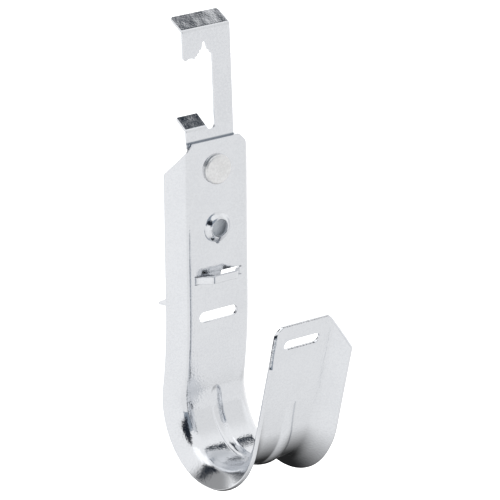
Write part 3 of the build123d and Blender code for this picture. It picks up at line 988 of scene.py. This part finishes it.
@dataclass
class BatwingClip:
    """The clip: a thin plate with a wing, a stepped notch, a window, a tab, a tail and a foot."""

    sheet: float = 0.8
    rim: float = 0.1
    bend_radius: float = 1.2
    bend_step: float = 0.1
    lean: float = 2.5
    width: float = 15.1
    notch_inset: float = 6.7
    notch_offset: float = 2.1
    notch_rise: float = 26.8
    wing_fold_rise: float = 3.8
    wing_flange: float = 6.2
    wing_pitch: float = 25.0
    wing_corner_radius: float = 0.8
    wing_corner_steps: int = 6
    tab_pitch: float = 29.2
    window_floor: float = 3.6
    strip_width: float = 5.9
    tab_width: float = 6.7
    tab_length: float = 5.4
    relief_depth: float = 0.9
    seat_radius: float = 0.5
    left_steps: tuple[Point, ...] = (
        (2.95, 3.75), (2.3, 3.7), (2.1, 3.0), (1.55, 2.9), (1.45, 2.15), (0.8, 2.1)
    )
    right_steps: tuple[Point, ...] = ((0.95, 2.35), (1.55, 2.45), (1.75, 3.4))
    root_drop: float = 3.6
    tooth: Point = (3.0, 4.45)
    scallop_rise: float = 0.5
    heel_corner: float = 0.8
    shoulder_lift: float = 0.1
    shoulder_drop: float = 3.6
    tail_width: float = 13.4
    tail_taper_drop: float = 14.0
    tail_end_width: float = 6.6
    tail_drop: float = 48.0
    foot_reach: float = 11.6
    foot_flare: float = 23.0
    foot_sweep: float = 10.0
    rivet_drop: float = 8.2
    rivet_hole: float = 2.45

    def __post_init__(self) -> None:
        """Work out the clip's corners, seen from the side, and its sides."""
        self.plate_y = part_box("batwing_clip")[0].y / MM
        self.top = -self.notch_rise
        self.left = -self.notch_inset
        self.right = self.width - self.notch_inset
        self.strip_left = self.right - self.strip_width
        self.tab_right = self.left + self.tab_width
        self.floor = self.top + self.window_floor
        self.foot_z = self.top - self.tail_drop
        self.foot_end = self.foot_reach + self.width
        self.relief = (self.strip_left - self.tab_right) / 2

    def front(self, z: float) -> float:
        """Front face of the clip at a height: upright behind the hook, leaning back above it."""
        return self.plate_y + max(z - self.top, 0) * math.tan(math.radians(self.lean))

    def corners(self, fold_z: float, flange: float, slope: float) -> list[Point]:
        """Corners of the side profile for a flange of some length and slope, folded at a height."""
        pitch = math.radians(slope)
        fold = (self.front(fold_z), fold_z)
        back = (fold[0] + flange * math.cos(pitch), fold_z + flange * math.sin(pitch))
        return [back, fold, (self.plate_y, self.top), (self.plate_y, self.foot_z),
                (self.plate_y + self.foot_end, self.foot_z)]

    def profiles(self) -> list[np.ndarray]:
        """Points of the wing's profile, and of the tab's, which is as long down to the plate."""
        spare = (self.wing_fold_rise - self.floor) / math.cos(math.radians(self.lean))
        gain = self.fold_gain(self.wing_pitch) - self.fold_gain(self.tab_pitch)
        wing = (self.wing_fold_rise, self.wing_flange, self.wing_pitch)
        tab = (self.floor, self.wing_flange + spare + gain, self.tab_pitch)
        made = []
        for flange in (wing, tab):
            corners = self.corners(*flange)
            line = traced(corners[0], *folded(corners, self.bend_radius), self.bend_step)
            made.append(np.c_[np.zeros(len(line)), line] * MM)
        return made

    def bend_gain(self, turn: float) -> float:
        """How much longer a bend is than its two tangents, which it replaces."""
        angle = math.radians(turn)
        return self.bend_radius * (angle - 2 * math.tan(angle / 2))

    def fold_gain(self, pitch: float) -> float:
        """The bend's gain where a flange of some pitch is folded from the leaning plate."""
        return self.bend_gain(90 - self.lean - pitch)

    def along(self, z: float) -> float:
        """Length along the blank, from the wing's back edge, to a height on the plate."""
        length = self.wing_flange + self.fold_gain(self.wing_pitch)
        above = max(z, self.top)
        length += (self.wing_fold_rise - above) / math.cos(math.radians(self.lean))
        if z < self.top:
            length += self.bend_gain(self.lean) + self.top - z
        return length

    def foot_along(self, y: float) -> float:
        """Length along the blank to a distance behind the plate, on the foot."""
        return self.along(self.foot_z) + self.bend_gain(90) + y - self.plate_y

    def outline(self) -> Outline:
        """Outline of the flat blank: wing, strip, tail and foot, with window and rivet hole."""
        tail_left = self.notch_offset - self.tail_width / 2
        tail_right = self.notch_offset + self.tail_width / 2
        tail_end = tail_left + self.tail_end_width
        flare_y = self.plate_y + self.bend_radius
        tip_y = self.plate_y + self.foot_reach
        tip_x = tail_left - (tip_y - flare_y) * math.tan(math.radians(self.foot_flare))
        heel_y = tip_y + (tail_end - tip_x) * math.tan(math.radians(self.foot_sweep))
        shoulder = self.along(self.top + self.shoulder_lift)
        taper_end = self.along(self.foot_z + self.bend_radius)
        plate = polygon([
            *self.wing_corner(self.left, 1), *self.wing_corner(self.right, -1)[::-1],
            (self.right, shoulder), (tail_right, shoulder),
            (tail_right, self.along(self.top - self.tail_taper_drop)), (tail_end, taper_end),
            (tail_end, self.foot_along(heel_y)), (tip_x, self.foot_along(tip_y)),
            (tail_left, self.foot_along(flare_y)), (tail_left, shoulder + self.shoulder_drop),
            (self.left, shoulder + self.shoulder_drop - (tail_left - self.left)),
        ])
        rivet_place = (self.notch_offset, self.along(self.top - self.rivet_drop))
        return pierced(plate, polygon(self.window()), bar(rivet_place, (0, 0), self.rivet_hole))

    def wing_corner(self, side: float, inwards: int) -> list[Point]:
        """Rounded corner of the wing's back edge, from its side to the edge."""
        radius = self.wing_corner_radius
        start, end = (side, radius), (side + inwards * radius, 0.0)
        middle = radius * (1 - math.sqrt(0.5))
        return [start, *arc(start, (side + inwards * middle, middle), end, self.wing_corner_steps)]

    def window(self) -> list[Point]:
        """Corners of the window, from its open side round by the notch, the strip and the tab."""
        outside = self.left - self.width
        heel = (self.left + self.heel_corner, -self.tooth[1])
        tooth = (-self.tooth[0], -self.tooth[1])
        scallop = ((heel[0] + tooth[0]) / 2, self.scallop_rise - self.tooth[1])
        seat = self.seat_radius
        relief_z = self.floor - self.relief_depth + self.relief
        relief_start = (self.strip_left, relief_z)
        relief_end = (self.tab_right, relief_z)
        relief_low = (self.tab_right + self.relief, relief_z - self.relief)
        edge = [(outside, -self.root_drop), (self.left, self.heel_corner - self.tooth[1]), heel]
        edge += arc(heel, scallop, tooth)
        edge += [(-across, -drop) for across, drop in self.left_steps]
        edge += [(-seat, -seat), *arc((-seat, -seat), (0, 0), (seat, -seat))]
        edge += [(across, -drop) for across, drop in self.right_steps]
        edge += [(self.strip_left, -self.root_drop), relief_start]
        edge += arc(relief_start, relief_low, relief_end)
        tab_end = self.along(self.floor) - self.fold_gain(self.wing_pitch) - self.tab_length
        flat = [(x, self.along(z)) for x, z in edge]
        return flat + [(self.tab_right, tab_end), (outside, tab_end)]

    def grid(self) -> tuple[np.ndarray, np.ndarray]:
        """Columns and rows of the blank's grid, closest at the notch."""
        notch, tab, wing, strip, medium, coarse = 0.13, 0.2, 0.25, 0.3, 0.4, 0.6
        margin = 0.8
        tip = self.notch_offset - self.tail_width / 2 - self.foot_reach / 2
        left, right = self.left - margin, self.strip_left + margin
        columns = graded(
            (tip, left, medium), (left, right, notch), (right, self.right + margin, strip)
        )
        notch_top = self.along(0) - margin
        notch_end = self.along(-self.tooth[1]) + margin
        tab_top = self.along(self.floor + self.tab_length) - margin
        plate = self.along(self.top) + margin
        heel = self.along(self.foot_z + self.bend_radius)
        rows = graded(
            (-margin, notch_top, wing), (notch_top, notch_end, notch), (notch_end, tab_top, medium),
            (tab_top, plate, tab), (plate, heel, coarse),
            (heel, self.foot_along(self.plate_y + self.foot_end), medium),
        )
        return columns, rows

    def mark_tab(self, flat: bpy.types.Mesh) -> None:
        """Mark the points of the tab, which fold along the branch profile."""
        middle = self.along((self.floor - self.tooth[1]) / 2) * MM
        divide = (self.tab_right + self.relief) * MM
        lowest = self.along(self.floor - self.bend_radius) * MM
        marks = [float(v.co.x < divide and middle < v.co.y < lowest) for v in flat.vertices]
        flat.attributes.new("branch", "FLOAT", "POINT").data.foreach_set("value", marks)

    def build(self, tool: FormingTool, finish: bpy.types.Material) -> bpy.types.Object:
        """Cut the blank and fold it.

        Args:
            tool: The forming tree.
            finish: The clip's material.

        Returns:
            The folded clip.
        """
        columns, rows = self.grid()
        flat = FlatSheet(self.outline(), columns, rows, self.sheet, self.rim).mesh("clip_blank")
        self.mark_tab(flat)
        return tool.form("folded_clip", flat, finish, self.profiles(), FLAT_SIZES)

    def dress(self, tool: FormingTool) -> None:
        """Build the clip in its finish and let it stand for its CAD node."""
        adopt(self.build(tool, CLIP_ZINC.material()), "batwing_clip")


@dataclass
class FlatRivet:
    """The rivet: a flat head with a rounded rim, a shank and an upset tail, turned."""

    head_radius: float = 4.1
    head_height: float = 1.15
    shank_radius: float = 2.4
    tail_radius: float = 3.6
    tail_height: float = 1.3
    grip: float = 1.8
    rim: float = 0.45
    dish: float = 0.08
    flat_radius: float = 3.4
    face_steps: int = 12
    rim_steps: int = 7
    segments: int = 96

    def profile(self) -> list[Point]:
        """Radius and depth along the rivet, from the middle of its head to that of its tail."""
        turns = np.linspace(0, math.pi / 2, self.rim_steps)
        face = [(r, -self.head_height + self.dish * (r / self.head_radius) ** 4)
                for r in np.linspace(0, self.flat_radius, self.face_steps)]
        rim = [(self.head_radius - self.rim + self.rim * math.sin(w),
                -self.head_height + self.dish + self.rim * (1 - math.cos(w))) for w in turns]
        tail_end = self.grip + self.tail_height
        tail = [(self.tail_radius - self.rim + self.rim * math.cos(w),
                 tail_end - self.rim + self.rim * math.sin(w)) for w in turns]
        shank = [(self.shank_radius, 0), (self.shank_radius, self.grip)]
        return [*face, *rim, (self.head_radius, 0), *shank, (self.tail_radius, self.grip), *tail,
                (0, tail_end)]

    def build(self, finish: bpy.types.Material) -> bpy.types.Object:
        """Turn the profile about the rivet's axis.

        Args:
            finish: The rivet's material.

        Returns:
            The rivet.
        """
        low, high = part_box("rivet")
        front = low.y / MM + self.head_height
        centre = (low + high) / (2 * MM)
        rings = []
        for radius, depth in self.profile():
            angles = np.linspace(0, math.tau, self.segments if radius else 1, endpoint=False)
            circle = [(radius * math.cos(w), radius * math.sin(w)) for w in angles]
            rings.append([(centre.x + x, front + depth, centre.z + z) for x, z in circle])
        starts = np.cumsum([0, *(len(ring) for ring in rings)])
        faces = []
        for k, pair in enumerate(zip(rings, rings[1:])):
            inner, outer = (len(ring) for ring in pair)
            for i in range(self.segments):
                j = i + 1
                corners = (starts[k] + i % inner, starts[k] + j % inner,
                           starts[k + 1] + j % outer, starts[k + 1] + i % outer)
                faces.append(list(dict.fromkeys(map(int, corners))))
        mesh = bpy.data.meshes.new("turned_rivet")
        mesh.from_pydata([tuple(v * MM for v in p) for ring in rings for p in ring], [], faces)
        mesh.materials.append(finish)
        mesh.shade_smooth()
        return placed("turned_rivet", mesh)

    def dress(self) -> None:
        """Build the rivet in its finish and let it stand for its CAD node."""
        adopt(self.build(RIVET_ZINC.material()), "rivet")


@dataclass(frozen=True)
class Card:
    """A card in the light tent, as the hook sees it, with a soft edge.

    Angles are in degrees. A bearing of zero is straight in front of the hook, and grows to its
    right. The slant moves the card's sides with height, and the climb moves its ends with bearing.
    """

    bearing: Point
    height: Point
    tone: Tone
    edge: float = 6.0
    slant: float = 0.0
    climb: float = 0.0

    def cover(self, graph: Graph, bearing: Term, height: Term) -> Term:
        """How much of the tent the card hides in a direction, with a soft edge."""
        half = self.edge / 2
        slanted = (height - sum(self.height) / 2) * self.slant + bearing
        climbing = (bearing - sum(self.bearing) / 2) * self.climb + height
        first, *others = (
            graph.ramp(angle, side - half, side + half, *shares)
            for angle, span in ((slanted, self.bearing), (climbing, self.height))
            for side, shares in zip(span, ((0.0, 1.0), (1.0, 0.0)))
        )
        return math.prod(others, start=first)


@dataclass(frozen=True)
class Patch:
    """A soft round patch on the floor: its middle, where its fading starts and ends, its tone."""

    middle: Point
    fade: Point
    tone: Tone


@dataclass(frozen=True)
class Studio:
    """Pale floor in a white light tent with a few dark cards, and the camera of the photograph."""

    azimuth: float = 34.71
    elevation: float = 18.62
    roll: float = -0.68
    distance: float = 1002.1
    focal_pixels: float = 3800.0
    image_pixels: float = 500.0
    aim_pixel: Point = (216.5, 139.19)
    sensor: float = 36.0
    floor_gap: float = 60.0
    floor_half: float = 4000.0
    floor_tone: Tone = (0.85, 0.85, 0.85)
    floor_fill: float = 0.85
    lamp_size: float = 300.0
    lamp_power: float = 1.1
    lamp_place: tuple[float, float, float] = (0.0, -20.0, 500.0)
    view_depth: float = 50000.0
    tent: Tone = (1.07, 1.07, 1.07)
    cards: tuple[Card, ...] = (
        Card((8.0, 66.0), (-16.0, 50.0), (0.90, 0.90, 0.90), 30.0),
        Card((-40.0, 20.0), (-26.0, 40.0), (0.30, 0.34, 0.39), 8.0),
        Card((-76.0, -28.0), (9.5, 46.0), (0.015, 0.02, 0.03), slant=0.6),
        Card((-158.0, -76.0), (42.0, 72.0), (1.35, 1.35, 1.35)),
        Card((-172.0, -124.0), (-4.0, 32.0), (0.38, 0.38, 0.38), 16.0),
        Card((-166.0, -132.0), (24.0, 42.0), (0.02, 0.025, 0.035), 5.0),
        Card((94.0, 139.0), (51.7, 80.0), (0.015, 0.025, 0.04), 6.0, climb=0.1),
        Card((124.0, 141.0), (47.0, 62.0), (0.03, 0.04, 0.055), 10.0),
    )
    patches: tuple[Patch, ...] = (
        Patch((700.0, -1000.0), (1160.0, 1300.0), (0.97, 0.97, 0.97)),
        # Painted shadow of the hook on the floor, seen only in reflections.
        Patch((35.0, 40.0), (20.0, 145.0), (0.02, 0.02, 0.02)),
    )

    def build(self) -> None:
        """Set the stage and the camera."""
        bpy.context.scene.view_settings.view_transform = "Standard"
        self.floor()
        self.world()
        self.softbox()
        self.camera()

    @staticmethod
    def rays(graph: Graph) -> tuple[Term, Term]:
        """Whether a ray is the camera's, straight or through, and whether it is a reflection."""
        path = graph.terms(graph.node("ShaderNodeLightPath"))
        shown = graph.math("MAXIMUM", path["Is Camera Ray"], path["Is Transmission Ray"])
        return shown, path["Is Glossy Ray"]

    def floor(self) -> None:
        """Pale floor below the hook: white with a shadow to the camera, patched in reflections."""
        level = cad_box[0].z / MM - self.floor_gap
        half = self.floor_half
        mesh = bpy.data.meshes.new("floor")
        square = [(-half, -half), (half, -half), (half, half), (-half, half)]
        mesh.from_pydata([(x * MM, y * MM, level * MM) for x, y in square], [], [(0, 1, 2, 3)])
        made = placed("floor", mesh)
        material = bpy.data.materials.new("pale_floor")
        material.use_nodes = True
        graph = Graph(material.node_tree)
        place = graph.node("ShaderNodeTexCoord").outputs["Object"]
        tone: Term | Tone = self.tent
        # The patches tone the floor in reflections; one of them is a painted shadow of the hook.
        for patch in self.patches:
            middle = tuple(v * MM for v in (*patch.middle, level))
            away = graph.vector("DISTANCE", place, middle, "Value")
            share = graph.ramp(away, *(v * MM for v in patch.fade), 1.0, 0.0)
            tone = graph.blend(share, tone, patch.tone)
        shown, glossy = self.rays(graph)
        matt = graph.node("ShaderNodeBsdfDiffuse", {"Color": (*self.floor_tone, 1.0)}).outputs[0]
        white = {"Color": (1.0, 1.0, 1.0, 1.0), "Strength": self.floor_fill}
        fill = graph.node("ShaderNodeEmission", white).outputs[0]
        lit = graph.node("ShaderNodeAddShader", {0: matt, 1: fill}).outputs[0]
        glow = graph.node("ShaderNodeEmission", {"Color": tone, "Strength": 1.0}).outputs[0]
        hidden = graph.node("ShaderNodeMixShader", {0: glossy, 1: matt, 2: glow}).outputs[0]
        both = graph.node("ShaderNodeMixShader", {0: shown, 1: hidden, 2: lit}).outputs[0]
        graph.node("ShaderNodeOutputMaterial", {"Surface": both})
        mesh.materials.append(material)

    def world(self) -> None:
        """White tent with its cards, and plain white to the camera."""
        world = bpy.data.worlds.new("studio")
        world.use_nodes = True
        bpy.context.scene.world = world
        graph = Graph(world.node_tree)
        x, y, z = graph.split(graph.node("ShaderNodeTexCoord").outputs["Generated"])
        bearing = graph.math("DEGREES", graph.math("ARCTAN2", x, y * -1.0))
        height = graph.math("DEGREES", graph.math("ARCSINE", z))
        tone: Term | Tone = self.tent
        for card in self.cards:
            tone = graph.blend(card.cover(graph, bearing, height), tone, card.tone)
        seen = graph.blend(self.rays(graph)[0], tone, (1.0, 1.0, 1.0))
        sky = graph.node("ShaderNodeBackground", {"Color": seen, "Strength": 1.0})
        graph.node("ShaderNodeOutputWorld", {"Surface": sky.outputs[0]})

    def softbox(self) -> None:
        """Soft square lamp straight above the hook, hidden from the camera and from reflections."""
        data = bpy.data.lights.new("overhead_softbox", "AREA")
        data.size = self.lamp_size * MM
        data.energy = self.lamp_power
        lamp = placed("overhead_softbox", data)
        lamp.location = Vector(self.lamp_place) * MM
        lamp.visible_camera = False
        lamp.visible_glossy = False

    def camera(self) -> None:
        """Camera at the photograph's angle, with the hook's top edge on its pixel."""
        azimuth, elevation, roll = map(math.radians, (self.azimuth, self.elevation, self.roll))
        ahead = Vector((math.sin(azimuth), math.cos(azimuth), 0.0))
        forward = ahead * math.cos(elevation) - Vector((0.0, 0.0, math.sin(elevation)))
        level = Vector((math.cos(azimuth), -math.sin(azimuth), 0.0))
        upright = level.cross(forward)
        right = level * math.cos(roll) + upright * math.sin(roll)
        up = upright * math.cos(roll) - level * math.sin(roll)
        axes = Matrix((right, up, -forward)).transposed()
        half = self.image_pixels / 2
        seen = Vector((self.aim_pixel[0] - half, half - self.aim_pixel[1], -self.focal_pixels))
        swing = seen.rotation_difference(Vector((0, 0, -1))).to_matrix()
        hook = FormedHook()
        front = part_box("batwing_clip")[0].y - hook.sheet * MM
        aim = Vector((hook.centre_x * MM, front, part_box("j_hook")[1].z))
        data = bpy.data.cameras.new("photo_camera")
        data.sensor_width = self.sensor
        data.lens = self.focal_pixels / self.image_pixels * self.sensor
        data.clip_end = self.view_depth * MM
        made = placed("photo_camera", data)
        stand = Matrix.Translation(aim - forward * self.distance * MM)
        made.matrix_world = stand @ (axes @ swing).to_4x4()
        bpy.context.scene.camera = made


def write_sizes() -> None:
    """Update the view layer."""
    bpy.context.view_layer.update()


def main() -> None:
    """Form and dress the three pieces, then set the stage."""
    logging.basicConfig(level=logging.INFO, format="%(name)s: %(message)s")
    tool = FormingTool()
    FormedHook().dress(tool)
    BatwingClip().dress(tool)
    FlatRivet().dress()
    Studio().build()
    write_sizes()


if __name__ == "__main__":
    main()
